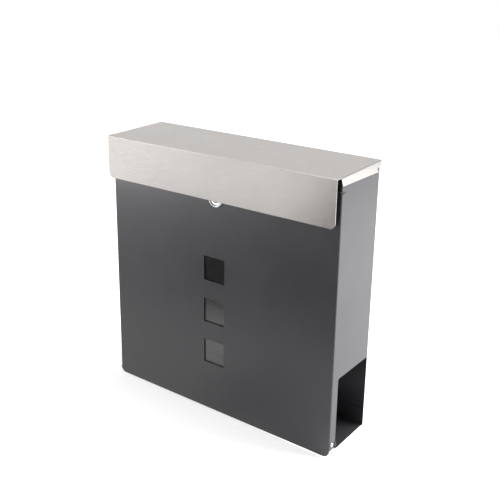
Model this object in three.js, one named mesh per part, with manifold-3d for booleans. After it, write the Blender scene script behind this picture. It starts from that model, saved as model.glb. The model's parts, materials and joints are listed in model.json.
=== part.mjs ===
// Wall-mounted mailbox: painted sheet-steel case with a newspaper compartment that is open at both
// ends, a full-height front door hinged at its foot, and a stainless lid over the mail slot.
// Millimetres, +Z up, the door faces -Y. The object stands on its base, with the origin under its
// middle. The door's closed outer face is the plane y = 0 of the groups below.
import * as THREE from 'three';
import { mergeVertices } from 'three/addons/utils/BufferGeometryUtils.js';
import Module from 'manifold-3d';

const wasm = await Module();
wasm.setup();

// ---- driving dimensions -----------------------------------------------------------------------
const DOOR_WIDTH = 370;
const DOOR_HEIGHT = 352;
const DOOR_FLOOR_GAP = 1;
const DOOR_SHEET = 1.0;
const DOOR_FLANGE_DEPTH = 12.2;
const DOOR_CORNER_RADIUS = 9;
const DOOR_SIDE_GAP = 2;
const DOOR_HINGE_Y = 5.5;
const DOOR_HINGE_Z = 18;
const FLANGE_CORNER_RADIUS = 5;

const CASE_SHEET = 0.8;
const CASE_FRONT_Y = 5;
const CASE_DEPTH = 91.4;
const CASE_RETURN_WIDTH = 12;
const CASE_RETURN_START_Z = 27;
const CASE_TOP_CLEARANCE = 2;
const LEG_WIDTH = 15;
const PAPER_CUT_RADIUS = 3;

const LID_SHEET = 0.8;
const LID_SIDE_GAP = 1.1;
const LID_SKIRT_GAP = 10.2;
const LID_ABOVE_DOOR = 18;
const LID_RISE = 3.5;
const LID_REAR_SETBACK = 0.2;
const SKIRT_HEIGHT = 60;
const SKIRT_CORNER_RADIUS = 7.5;
const LID_FLANGE_HEIGHT = 11;
const LID_FLANGE_SETBACK = 9.9;
const LID_FLANGE_SLANT = 4.3;
const LID_HINGE_SETBACK = 4.2;
const LID_HINGE_RISE = 3.4;
const LID_FLANGE_CORNER_RADIUS = 3;
const HEM_HEIGHT = 8;
const HEM_END_MARGIN = 4;

const MAIL_FLOOR_Z = 104.6;
const MAIL_FLOOR_FLANGE = 12;
const MAIL_FLOOR_LIP = 20;
const TRAY_LIP = 10;
const TRAY_LIP_CLEARANCE = 1;
const TRAY_REAR_FLANGE = 25;

const RAIL_HEIGHT = 32;
const RAIL_FLANGE_DEPTH = 16;

const WINDOW_SIZE = 34.7;
const WINDOW_PITCH = 61.1;
const WINDOW_COUNT = 3;
const WINDOW_DROP = 123.9;
const WINDOW_CENTRE_X = -3;
const WINDOW_CORNER_RADIUS = 0.8;
const PANE_THICKNESS = 2;
const PANE_OVERLAP_X = 10;
const PANE_OVERLAP_Z = 11;
const PANE_CORNER_RADIUS = 3;
const STUD_RADIUS = 1.5;
const STUD_INSET = 4.6;
const CLIP_RADIUS = 4;
const CLIP_THICKNESS = 0.6;
const CLIP_SLITS = 3;
const CLIP_SLIT_WIDTH = 0.8;
const CLIP_SLIT_REACH = 3;

const BEZEL_RADIUS = 11.5;
const BEZEL_HEIGHT = 2.8;
const BEZEL_RIM = 3;
const BARREL_RADIUS = 7.8;
const BARREL_FLATS = 12.8;
const BARREL_LENGTH = 7.1;
const PLUG_RADIUS = 5.4;
const KEYWAY_WIDTH = 1.8;
const KEYWAY_HEIGHT = 6.6;
const KEYWAY_DEPTH = 5;
const DRIVE_SIZE = 6;
const LOCK_NUT_FLATS = 20;
const LOCK_NUT_THICKNESS = 3;
const CAM_LENGTH = 28;
const CAM_WIDTH = 14;
const CAM_THICKNESS = 2;
const CAM_OVERLAP = 6.5;
const CAM_SCREW_RADIUS = 1.6;
const CAM_SCREW_LENGTH = 4;
const CAM_SCREW_HEAD_RADIUS = 3.8;
const CAM_SCREW_HEAD_HEIGHT = 1.8;

const PIN_RADIUS = 2;
const LID_PIN_HEAD_RADIUS = 3.5;
const DOOR_PIN_HEAD_RADIUS = 2.9;
const PIN_HEAD_HEIGHT = 1.8;
const PIN_TAIL_RADIUS = 3.2;
const PIN_TAIL_HEIGHT = 1.4;
const LID_WASHER_RADIUS = 4.5;
const DOOR_SPACER_RADIUS = 4;

const LID_BUFFER_RADIUS = 5;
const LID_BUFFER_HEIGHT = 5.4;
const LID_BUFFER_INSET = 32;
const DOOR_BUFFER_RADIUS = 4;
const DOOR_BUFFER_MARGIN = 14;

const MOUNT_HOLE_RADIUS = 3.5;
const MOUNT_HOLE_INSET = 52;
const MOUNT_HOLE_MARGIN = 46;
const KEYHOLE_SLOT = 9;

const BEND_RADIUS = 0.8;
const HEM_GAP = 0.2;
const FIT_GAP = 0.2;
const HOLE_CLEARANCE = 0.3;
const BEND_STEPS = 5;
const ROUND_STEPS = 40;

// ---- sizes that follow --------------------------------------------------------------------------
const DOOR_TOP_Z = DOOR_FLOOR_GAP + DOOR_HEIGHT;
const CASE_WIDTH = DOOR_WIDTH - 2 * (DOOR_SHEET + DOOR_SIDE_GAP);
const CASE_REAR_Y = CASE_FRONT_Y + CASE_DEPTH;
const CASE_INNER_X = CASE_WIDTH / 2 - CASE_SHEET;
const CASE_INNER_REAR_Y = CASE_REAR_Y - CASE_SHEET;
const BETWEEN_BENDS_X = CASE_INNER_X - BEND_RADIUS;
const INSIDE_FRONT_Y = CASE_FRONT_Y + CASE_SHEET + FIT_GAP;
const RETURN_EDGE_X = CASE_WIDTH / 2 - CASE_RETURN_WIDTH;
const LEG_BOTTOM_Z = DOOR_HINGE_Z - (DOOR_HINGE_Y - DOOR_SHEET) + 2 * FIT_GAP;
const LEG_REAR_Y = CASE_FRONT_Y + LEG_WIDTH;

const LID_WIDTH = CASE_WIDTH + 2 * (LID_SIDE_GAP + LID_SHEET);
const LID_FRONT_Y = -LID_SKIRT_GAP - LID_SHEET;
const LID_REAR_Y = CASE_REAR_Y - LID_REAR_SETBACK;
const LID_TOP_FRONT_Z = DOOR_TOP_Z + LID_ABOVE_DOOR;
const LID_SLOPE = LID_RISE / (LID_REAR_Y - LID_FRONT_Y);
const LID_FLANGE_BOTTOM_Z = LID_TOP_FRONT_Z - LID_FLANGE_HEIGHT;
const LID_HINGE_Y = LID_REAR_Y - LID_HINGE_SETBACK;
const LID_HINGE_Z = LID_FLANGE_BOTTOM_Z + LID_HINGE_RISE;
const SKIRT_BOTTOM_Z = LID_TOP_FRONT_Z - SKIRT_HEIGHT;

const DOOR_FOOT_REACH = Math.hypot(DOOR_HINGE_Y, DOOR_HINGE_Z - DOOR_FLOOR_GAP);
const TRAY_FRONT_Y = DOOR_HINGE_Y + DOOR_FOOT_REACH + TRAY_LIP_CLEARANCE;

const LID_BUFFER_Y = INSIDE_FRONT_Y + RAIL_FLANGE_DEPTH / 2;
const LID_UNDERSIDE_Z = lidTopAt(LID_BUFFER_Y - LID_BUFFER_RADIUS) - LID_SHEET;
const RAIL_TOP_Z = LID_UNDERSIDE_Z - LID_BUFFER_HEIGHT - 2 * FIT_GAP;
const RAIL_BOTTOM_Z = RAIL_TOP_Z - RAIL_HEIGHT;
const LOCK_Z = RAIL_BOTTOM_Z + CAM_OVERLAP - CAM_LENGTH;

const WINDOW_TOP_Z = DOOR_TOP_Z - WINDOW_DROP;
const PANE_FRONT_Y = DOOR_SHEET + HOLE_CLEARANCE;
const PANE_REAR_Y = PANE_FRONT_Y + PANE_THICKNESS;
const CAM_FRONT_Y = BARREL_LENGTH + HOLE_CLEARANCE;
const CAM_REAR_Y = CAM_FRONT_Y + CAM_THICKNESS;

const MOUNT_HOLE_X = CASE_WIDTH / 2 - MOUNT_HOLE_INSET;
const MOUNT_HOLE_ROWS = [MAIL_FLOOR_Z + MOUNT_HOLE_MARGIN, RAIL_TOP_Z - MOUNT_HOLE_MARGIN];

// Height of the lid's upper face, which falls gently to the front.
function lidTopAt(y) {
  return LID_TOP_FRONT_Z + LID_SLOPE * (y - LID_FRONT_Y);
}

// ---- finishes -----------------------------------------------------------------------------------
const finish = (color, roughness, metalness) => ({ color, roughness, metalness });
const ANTHRACITE = finish(0x4b4c50, 0.55, 0.1);
const STAINLESS = finish(0xc6c3bf, 0.35, 0.9);
const CHROME = finish(0xd8d8da, 0.15, 1.0);
const ZINC = finish(0xb4b6b8, 0.4, 0.9);
const RUBBER = finish(0x1c1c1d, 0.9, 0.0);
const NYLON = finish(0xe6e5df, 0.5, 0.0);
const ACRYLIC = finish(0xdfe6e8, 0.08, 0.0);

// ---- solids -------------------------------------------------------------------------------------
function solidOf(geometry) {
  const bare = geometry.clone();
  bare.deleteAttribute('normal');
  bare.deleteAttribute('uv');
  const merged = mergeVertices(bare, 1e-5);
  return new wasm.Manifold(
    new wasm.Mesh({
      numProp: 3,
      vertProperties: new Float32Array(merged.attributes.position.array),
      triVerts: new Uint32Array(merged.index.array),
    }),
  );
}

function geometryOf(solid) {
  const mesh = solid.getMesh();
  const indexed = new THREE.BufferGeometry();
  indexed.setAttribute('position', new THREE.BufferAttribute(mesh.vertProperties, 3));
  indexed.setIndex(new THREE.BufferAttribute(mesh.triVerts, 1));
  const geometry = indexed.toNonIndexed();
  geometry.computeVertexNormals();
  return geometry;
}

function joined(...solids) {
  return solids.reduce((whole, solid) => whole.add(solid));
}

function cut(solid, ...tools) {
  return tools.reduce((left, tool) => left.subtract(tool), solid);
}

// A shape drawn in (y, z) and run along X, in (x, z) and run along Y, or in (x, y) and run along Z.
const AXES = {
  X: new THREE.Matrix4().makeBasis(
    new THREE.Vector3(0, 1, 0),
    new THREE.Vector3(0, 0, 1),
    new THREE.Vector3(1, 0, 0),
  ),
  Y: new THREE.Matrix4().makeBasis(
    new THREE.Vector3(1, 0, 0),
    new THREE.Vector3(0, 0, 1),
    new THREE.Vector3(0, -1, 0),
  ),
  Z: new THREE.Matrix4(),
};

function extrusion(shape, axis, from, to, curveSegments = 4) {
  const settings = { depth: to - from, bevelEnabled: false, curveSegments };
  const geometry = new THREE.ExtrudeGeometry(shape, settings);
  geometry.translate(0, 0, axis === 'Y' ? -to : from);
  return geometry.applyMatrix4(AXES[axis]);
}

function extruded(...settings) {
  return solidOf(extrusion(...settings));
}

function block(x0, x1, y0, y1, z0, z1) {
  const geometry = new THREE.BoxGeometry(x1 - x0, y1 - y0, z1 - z0);
  return solidOf(geometry.translate((x0 + x1) / 2, (y0 + y1) / 2, (z0 + z1) / 2));
}

function polygon(...corners) {
  return new THREE.Shape(corners.map(([u, v]) => new THREE.Vector2(u, v)));
}

function roundedRectangle(u0, u1, v0, v1, radius) {
  const shape = new THREE.Shape();
  const right = -Math.PI / 2;
  shape.moveTo(u0 + radius, v0);
  shape.lineTo(u1 - radius, v0);
  shape.absarc(u1 - radius, v0 + radius, radius, right, 0);
  shape.lineTo(u1, v1 - radius);
  shape.absarc(u1 - radius, v1 - radius, radius, 0, Math.PI / 2);
  shape.lineTo(u0 + radius, v1);
  shape.absarc(u0 + radius, v1 - radius, radius, Math.PI / 2, Math.PI);
  shape.lineTo(u0, v0 + radius);
  shape.absarc(u0 + radius, v0 + radius, radius, Math.PI, Math.PI * 1.5);
  return shape;
}

function disc(u, v, radius) {
  return new THREE.Shape().absarc(u, v, radius, 0, 2 * Math.PI);
}

// The section of a folded sheet. The path is the face that the sheet's thickness is measured from,
// with the sheet on its right-hand side, and each corner of the path becomes a bend.
function foldedSheet(path, thickness, bendRadii = BEND_RADIUS) {
  const points = path.map(([u, v]) => new THREE.Vector2(u, v));
  const near = [];
  const far = [];
  const rightOf = (direction) => new THREE.Vector2(direction.y, -direction.x);
  const heading = (i) => points[i + 1].clone().sub(points[i]).normalize();
  const square = (i, direction) => {
    near.push(points[i]);
    far.push(points[i].clone().addScaledVector(rightOf(direction), thickness));
  };
  square(0, heading(0));
  for (let i = 1; i < points.length - 1; i += 1) {
    const before = heading(i - 1);
    const after = heading(i);
    const turn = Math.atan2(before.cross(after), before.dot(after));
    const inner = Array.isArray(bendRadii) ? bendRadii[i - 1] : bendRadii;
    const towardSheet = turn < 0;
    const nearRadius = towardSheet ? inner + thickness : inner;
    const farRadius = towardSheet ? inner : inner + thickness;
    const side = towardSheet ? 1 : -1;
    const start = points[i]
      .clone()
      .addScaledVector(before, -nearRadius * Math.tan(Math.abs(turn) / 2));
    const centre = start.clone().addScaledVector(rightOf(before), side * nearRadius);
    for (let k = 0; k <= BEND_STEPS; k += 1) {
      const spoke = rightOf(before)
        .multiplyScalar(-side)
        .rotateAround(new THREE.Vector2(), (turn * k) / BEND_STEPS);
      near.push(centre.clone().addScaledVector(spoke, nearRadius));
      far.push(centre.clone().addScaledVector(spoke, farRadius));
    }
  }
  square(points.length - 1, heading(points.length - 2));
  const outline = [...near, ...far.reverse()];
  const apart = (point, i) => point.distanceTo(outline.at(i - 1)) > 1e-6;
  return new THREE.Shape(outline.filter(apart));
}

function bore(axis, u, v, radius, from, to, steps = ROUND_STEPS) {
  return extruded(disc(u, v, radius), axis, from, to, steps / 2);
}

// What a round corner takes off a square one. The signs say which way the corner points.
function cornerTool(axis, u, v, radius, signU, signV, from, to) {
  const steps = 2 * BEND_STEPS;
  const outline = [];
  for (let k = 0; k <= steps; k += 1) {
    const angle = (Math.PI / 2) * (k / steps);
    const acrossU = u - signU * radius * (1 - Math.cos(angle));
    const acrossV = v - signV * radius * (1 - Math.sin(angle));
    outline.push([acrossU, acrossV]);
  }
  outline.push([u - signU * radius, v + signV], [u + signU, v + signV], [u + signU, v - signV * radius]);
  return extruded(polygon(...outline), axis, from, to);
}

// A turned body about its own Y axis. The profile goes round anticlockwise in (radius, height).
function turned(profile, steps = ROUND_STEPS) {
  return new THREE.LatheGeometry(profile.map(([r, y]) => new THREE.Vector2(r, y)), steps);
}

// Points of a dome of the given radius and height, from its rim up to the axis.
function dome(radius, base, height, steps = 5) {
  const points = [];
  for (let k = 0; k <= steps; k += 1) {
    const angle = (Math.PI / 2) * (k / steps);
    points.push([radius * Math.cos(angle), base + height * Math.sin(angle)]);
  }
  points[steps][0] = 0;
  return points;
}

// ---- meshes and groups --------------------------------------------------------------------------
function meshOf(name, shape, { color, roughness, metalness }) {
  const geometry = shape.isBufferGeometry ? shape : geometryOf(shape);
  const material = new THREE.MeshStandardMaterial({ color, roughness, metalness });
  const mesh = new THREE.Mesh(geometry, material);
  mesh.name = name;
  return mesh;
}

// A group that turns about an X-wise hinge, and the group inside it that keeps the object's frame.
function hingedGroup(y, z) {
  const hinge = new THREE.Group();
  const parts = new THREE.Group();
  hinge.position.set(0, y, z);
  parts.position.set(0, -y, -z);
  hinge.add(parts);
  return { hinge, parts };
}

// ---- case ---------------------------------------------------------------------------------------
function mountingHole(x, z, keyhole) {
  const round = bore('Y', x, z, MOUNT_HOLE_RADIUS, CASE_INNER_REAR_Y - 1, CASE_REAR_Y + 1);
  if (!keyhole) {
    return round;
  }
  const neck = MOUNT_HOLE_RADIUS / 2;
  const slotTop = z + KEYHOLE_SLOT;
  return joined(
    round,
    block(x - neck, x + neck, CASE_INNER_REAR_Y - 1, CASE_REAR_Y + 1, z, slotTop),
    bore('Y', x, slotTop, neck, CASE_INNER_REAR_Y - 1, CASE_REAR_Y + 1),
  );
}

// Back, sides and front returns, folded from one sheet. Below the mail floor each side is cut away
// behind a front leg, so that a newspaper passes through from either end.
function caseShell() {
  const halfWidth = CASE_WIDTH / 2;
  const plan = foldedSheet(
    [
      [-RETURN_EDGE_X, CASE_FRONT_Y],
      [-halfWidth, CASE_FRONT_Y],
      [-halfWidth, CASE_REAR_Y],
      [halfWidth, CASE_REAR_Y],
      [halfWidth, CASE_FRONT_Y],
      [RETURN_EDGE_X, CASE_FRONT_Y],
    ],
    CASE_SHEET,
  );
  const drop = LID_SHEET + CASE_TOP_CLEARANCE;
  const above = lidTopAt(CASE_REAR_Y) + drop;
  const overTop = polygon(
    [LID_FRONT_Y, lidTopAt(LID_FRONT_Y) - drop],
    [CASE_REAR_Y + 1, lidTopAt(CASE_REAR_Y + 1) - drop],
    [CASE_REAR_Y + 1, above],
    [LID_FRONT_Y, above],
  );
  const besides = halfWidth + 1;
  const sideRearY = CASE_INNER_REAR_Y - BEND_RADIUS;
  const paperCut = new THREE.Shape();
  paperCut.moveTo(LEG_REAR_Y, -1);
  paperCut.lineTo(sideRearY, -1);
  paperCut.lineTo(sideRearY, MAIL_FLOOR_Z);
  paperCut.absarc(
    LEG_REAR_Y + PAPER_CUT_RADIUS,
    MAIL_FLOOR_Z - PAPER_CUT_RADIUS,
    PAPER_CUT_RADIUS,
    Math.PI / 2,
    Math.PI,
  );
  const hingeHole = PIN_RADIUS + HOLE_CLEARANCE;
  let shell = cut(
    extruded(plan, 'Z', 0, above),
    extruded(overTop, 'X', -besides, besides),
    extruded(paperCut, 'X', -besides, besides),
    block(-besides, besides, 0, LEG_REAR_Y + 1, -1, LEG_BOTTOM_Z),
    block(-CASE_INNER_X, CASE_INNER_X, 0, INSIDE_FRONT_Y + BEND_RADIUS, -1, CASE_RETURN_START_Z),
    bore('X', DOOR_HINGE_Y, DOOR_HINGE_Z, hingeHole, -besides, besides),
    bore('X', LID_HINGE_Y, LID_HINGE_Z, hingeHole, -besides, besides),
  );
  MOUNT_HOLE_ROWS.forEach((z, row) => {
    const keyhole = row === MOUNT_HOLE_ROWS.length - 1;
    for (const x of [-MOUNT_HOLE_X, MOUNT_HOLE_X]) {
      shell = cut(shell, mountingHole(x, z, keyhole));
    }
  });
  return shell;
}

// Floor of the newspaper compartment: a sheet with an upstand at the back and a hemmed front lip,
// set back far enough for the foot of the door to swing in ahead of it.
function newspaperTray() {
  const hem = 2 * CASE_SHEET + FIT_GAP;
  const rearY = CASE_INNER_REAR_Y - FIT_GAP;
  const section = foldedSheet(
    [
      [rearY, TRAY_REAR_FLANGE],
      [rearY, 0],
      [TRAY_FRONT_Y, 0],
      [TRAY_FRONT_Y, TRAY_LIP],
      [TRAY_FRONT_Y + hem, TRAY_LIP],
      [TRAY_FRONT_Y + hem, TRAY_LIP / 2],
    ],
    CASE_SHEET,
    [BEND_RADIUS, BEND_RADIUS, FIT_GAP / 2, FIT_GAP / 2],
  );
  return extruded(section, 'X', -BETWEEN_BENDS_X, BETWEEN_BENDS_X);
}

// Floor of the mail compartment: a pan with relief gaps at its four corners and a higher front lip
// that keeps the post in when the door swings down.
function mailFloor() {
  const halfWidth = CASE_INNER_X - FIT_GAP;
  const rearY = CASE_INNER_REAR_Y - FIT_GAP;
  const relief = 2 * BEND_RADIUS + CASE_SHEET;
  const across = foldedSheet(
    [
      [halfWidth, MAIL_FLOOR_Z + MAIL_FLOOR_FLANGE],
      [halfWidth, MAIL_FLOOR_Z],
      [-halfWidth, MAIL_FLOOR_Z],
      [-halfWidth, MAIL_FLOOR_Z + MAIL_FLOOR_FLANGE],
    ],
    CASE_SHEET,
  );
  const along = foldedSheet(
    [
      [rearY, MAIL_FLOOR_Z + MAIL_FLOOR_FLANGE],
      [rearY, MAIL_FLOOR_Z],
      [INSIDE_FRONT_Y, MAIL_FLOOR_Z],
      [INSIDE_FRONT_Y, MAIL_FLOOR_Z + MAIL_FLOOR_LIP],
    ],
    CASE_SHEET,
  );
  return joined(
    extruded(across, 'Y', INSIDE_FRONT_Y + relief, rearY - relief),
    extruded(along, 'X', -halfWidth + relief, halfWidth - relief),
  );
}

// Rail across the top of the case front: the lid lies on it and the lock's cam turns in behind it.
// Its lower edge is hemmed to the front between the side returns.
function frontRail() {
  const hemHalfWidth = RETURN_EDGE_X - HEM_END_MARGIN;
  const hemY = INSIDE_FRONT_Y - CASE_SHEET - FIT_GAP;
  const top = [
    [INSIDE_FRONT_Y, RAIL_TOP_Z],
    [INSIDE_FRONT_Y + RAIL_FLANGE_DEPTH, RAIL_TOP_Z],
  ];
  const plain = foldedSheet([[INSIDE_FRONT_Y, RAIL_BOTTOM_Z + CASE_SHEET], ...top], CASE_SHEET);
  const hemmed = foldedSheet(
    [
      [hemY + CASE_SHEET, RAIL_BOTTOM_Z + HEM_HEIGHT],
      [hemY + CASE_SHEET, RAIL_BOTTOM_Z + CASE_SHEET],
      [INSIDE_FRONT_Y, RAIL_BOTTOM_Z + CASE_SHEET],
      ...top,
    ],
    CASE_SHEET,
    [FIT_GAP / 2, FIT_GAP / 2, BEND_RADIUS],
  );
  return joined(
    extruded(plain, 'X', -BETWEEN_BENDS_X, BETWEEN_BENDS_X),
    extruded(hemmed, 'X', -hemHalfWidth, hemHalfWidth),
  );
}

// ---- door ---------------------------------------------------------------------------------------
function windowTopZ(index) {
  return WINDOW_TOP_Z - index * WINDOW_PITCH;
}

function paneFrame() {
  const halfWidth = WINDOW_SIZE / 2 + PANE_OVERLAP_X;
  return {
    left: WINDOW_CENTRE_X - halfWidth,
    right: WINDOW_CENTRE_X + halfWidth,
    bottom: windowTopZ(WINDOW_COUNT - 1) - WINDOW_SIZE - PANE_OVERLAP_Z,
    top: WINDOW_TOP_Z + PANE_OVERLAP_Z,
  };
}

function studPlaces() {
  const { left, right, bottom, top } = paneFrame();
  const places = [];
  for (const z of [top - STUD_INSET, bottom + STUD_INSET]) {
    places.push([left + STUD_INSET, z], [right - STUD_INSET, z]);
  }
  return places;
}

// Front sheet with side flanges and a top lip. Its foot is flat, with round corners.
function doorPanel() {
  const halfWidth = DOOR_WIDTH / 2;
  const relief = DOOR_SHEET + BEND_RADIUS;
  const footTop = DOOR_FLOOR_GAP + DOOR_CORNER_RADIUS;
  const across = foldedSheet(
    [
      [halfWidth, DOOR_FLANGE_DEPTH],
      [halfWidth, 0],
      [-halfWidth, 0],
      [-halfWidth, DOOR_FLANGE_DEPTH],
    ],
    DOOR_SHEET,
  );
  const upright = foldedSheet(
    [
      [0, DOOR_FLOOR_GAP],
      [0, DOOR_TOP_Z],
      [CASE_FRONT_Y - 2 * FIT_GAP, DOOR_TOP_Z],
    ],
    DOOR_SHEET,
  );
  const sides = [-1, 1];
  let panel = joined(
    extruded(across, 'Z', footTop, DOOR_TOP_Z - relief),
    extruded(upright, 'X', -halfWidth + relief, halfWidth - relief),
    block(-halfWidth, halfWidth, 0, DOOR_SHEET, DOOR_FLOOR_GAP, footTop),
    ...studPlaces().map(([x, z]) =>
      bore('Y', x, z, STUD_RADIUS, DOOR_SHEET / 2, CASE_FRONT_Y - FIT_GAP, ROUND_STEPS / 2),
    ),
  );
  for (const side of sides) {
    const corner = [side * halfWidth, DOOR_FLOOR_GAP, DOOR_CORNER_RADIUS, side, -1];
    panel = cut(panel, cornerTool('Y', ...corner, -1, DOOR_SHEET + 1));
  }
  for (let i = 0; i < WINDOW_COUNT; i += 1) {
    const opening = roundedRectangle(
      WINDOW_CENTRE_X - WINDOW_SIZE / 2,
      WINDOW_CENTRE_X + WINDOW_SIZE / 2,
      windowTopZ(i) - WINDOW_SIZE,
      windowTopZ(i),
      WINDOW_CORNER_RADIUS,
    );
    panel = cut(panel, extruded(opening, 'Y', -1, DOOR_SHEET + 1));
  }
  const hingeHole = PIN_RADIUS + HOLE_CLEARANCE;
  const flangeEnd = [DOOR_FLANGE_DEPTH, footTop, FLANGE_CORNER_RADIUS, 1, -1];
  return cut(
    panel,
    lockBarrel(HOLE_CLEARANCE, -1, DOOR_SHEET + 1),
    cornerTool('X', ...flangeEnd, -halfWidth - 1, halfWidth + 1),
    bore('X', DOOR_HINGE_Y, DOOR_HINGE_Z, hingeHole, -halfWidth - 1, halfWidth + 1),
  );
}

function windowPane() {
  const { left, right, bottom, top } = paneFrame();
  const outline = roundedRectangle(left, right, bottom, top, PANE_CORNER_RADIUS);
  const holes = studPlaces().map(([x, z]) => {
    const radius = STUD_RADIUS + HOLE_CLEARANCE;
    return bore('Y', x, z, radius, 0, CASE_FRONT_Y, ROUND_STEPS / 2);
  });
  return cut(extruded(outline, 'Y', PANE_FRONT_Y, PANE_REAR_Y), ...holes);
}

// Push-on nut that grips a pane stud, with slits out from its hole.
function paneClip() {
  const steps = ROUND_STEPS / 2;
  const plate = bore('Y', 0, 0, CLIP_RADIUS, 0, CLIP_THICKNESS, steps);
  const hole = bore('Y', 0, 0, STUD_RADIUS + HOLE_CLEARANCE, -1, CLIP_THICKNESS + 1, steps);
  const slits = [];
  for (let i = 0; i < CLIP_SLITS; i += 1) {
    const halfSlit = CLIP_SLIT_WIDTH / 2;
    const slit = new THREE.BoxGeometry(CLIP_SLIT_REACH, CLIP_THICKNESS + 2, 2 * halfSlit);
    slit.translate(CLIP_SLIT_REACH / 2, CLIP_THICKNESS / 2, 0);
    slits.push(solidOf(slit.rotateY((2 * Math.PI * i) / CLIP_SLITS)));
  }
  return cut(plate, hole, ...slits);
}

// ---- lock ---------------------------------------------------------------------------------------
// The threaded barrel with its two flats, or with a clearance the hole that it goes through.
function lockBarrel(clearance, fromY, toY) {
  const radius = BARREL_RADIUS + clearance;
  const flat = BARREL_FLATS / 2 + clearance;
  const round = bore('Y', 0, LOCK_Z, radius, fromY, toY);
  return round.intersect(block(-radius, radius, fromY, toY, LOCK_Z - flat, LOCK_Z + flat));
}

// Bezel with a rounded rim round a sunk face, and the bore for the plug.
function lockBody() {
  const boreRadius = PLUG_RADIUS + HOLE_CLEARANCE;
  const rimRadius = BEZEL_RIM / 2;
  const rimY = -BEZEL_HEIGHT + rimRadius;
  const profile = [[boreRadius, rimY]];
  for (let k = 0; k <= 2 * BEND_STEPS; k += 1) {
    const angle = Math.PI * (1 + k / (2 * BEND_STEPS));
    const radius = BEZEL_RADIUS - rimRadius + rimRadius * Math.cos(angle);
    profile.push([radius, rimY + rimRadius * Math.sin(angle)]);
  }
  profile.push([BEZEL_RADIUS, -FIT_GAP], [boreRadius, -FIT_GAP], [boreRadius, rimY]);
  const bezel = solidOf(turned(profile).translate(0, 0, LOCK_Z));
  const plugBore = bore('Y', 0, LOCK_Z, boreRadius, -BEZEL_HEIGHT, BARREL_LENGTH + 1);
  const barrel = cut(lockBarrel(0, -2 * FIT_GAP, BARREL_LENGTH), plugBore);
  return joined(bezel, barrel);
}

function lockPlug() {
  const frontY = -BEZEL_HEIGHT + BEZEL_RIM / 2;
  const driveEndY = CAM_REAR_Y - FIT_GAP;
  const halfDrive = DRIVE_SIZE / 2;
  const halfKeyway = KEYWAY_WIDTH / 2;
  const keywayTop = KEYWAY_HEIGHT / 2;
  const screwRadius = CAM_SCREW_RADIUS + HOLE_CLEARANCE;
  const screwEndY = CAM_REAR_Y - CAM_SCREW_LENGTH - HOLE_CLEARANCE;
  return cut(
    joined(
      bore('Y', 0, 0, PLUG_RADIUS, frontY, BARREL_LENGTH),
      block(-halfDrive, halfDrive, BARREL_LENGTH - 1, driveEndY, -halfDrive, halfDrive),
    ),
    block(-halfKeyway, halfKeyway, frontY - 1, frontY + KEYWAY_DEPTH, -keywayTop, keywayTop),
    bore('Y', 0, 0, screwRadius, screwEndY, driveEndY + 1, ROUND_STEPS / 2),
  );
}

function lockNut() {
  const corner = LOCK_NUT_FLATS / Math.sqrt(3);
  const hexagon = [];
  for (let i = 0; i < 6; i += 1) {
    const angle = (Math.PI / 3) * i;
    hexagon.push([corner * Math.cos(angle), corner * Math.sin(angle)]);
  }
  const hole = bore('Y', 0, 0, BARREL_RADIUS + HOLE_CLEARANCE, -1, LOCK_NUT_THICKNESS + 1);
  return cut(extruded(polygon(...hexagon), 'Y', 0, LOCK_NUT_THICKNESS), hole);
}

// Unlocked, the cam points to the left. A quarter turn brings its tip up behind the front rail.
function lockCam() {
  const half = CAM_WIDTH / 2;
  const tip = -CAM_LENGTH + half;
  const square = DRIVE_SIZE / 2 + HOLE_CLEARANCE;
  const outline = new THREE.Shape();
  outline.absarc(0, 0, half, -Math.PI / 2, Math.PI / 2);
  outline.absarc(tip, 0, half, Math.PI / 2, Math.PI * 1.5);
  return cut(
    extruded(outline, 'Y', 0, CAM_THICKNESS, ROUND_STEPS / 4),
    block(-square, square, -1, CAM_THICKNESS + 1, -square, square),
  );
}

function camScrew() {
  const head = CAM_SCREW_HEAD_RADIUS;
  const rim = CAM_SCREW_HEAD_HEIGHT / 2;
  return turned(
    [
      [0, -CAM_SCREW_LENGTH],
      [CAM_SCREW_RADIUS, -CAM_SCREW_LENGTH],
      [CAM_SCREW_RADIUS, HOLE_CLEARANCE],
      [head, HOLE_CLEARANCE],
      ...dome(head, HOLE_CLEARANCE + rim, rim, BEND_STEPS),
    ],
    ROUND_STEPS / 2,
  );
}

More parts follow.
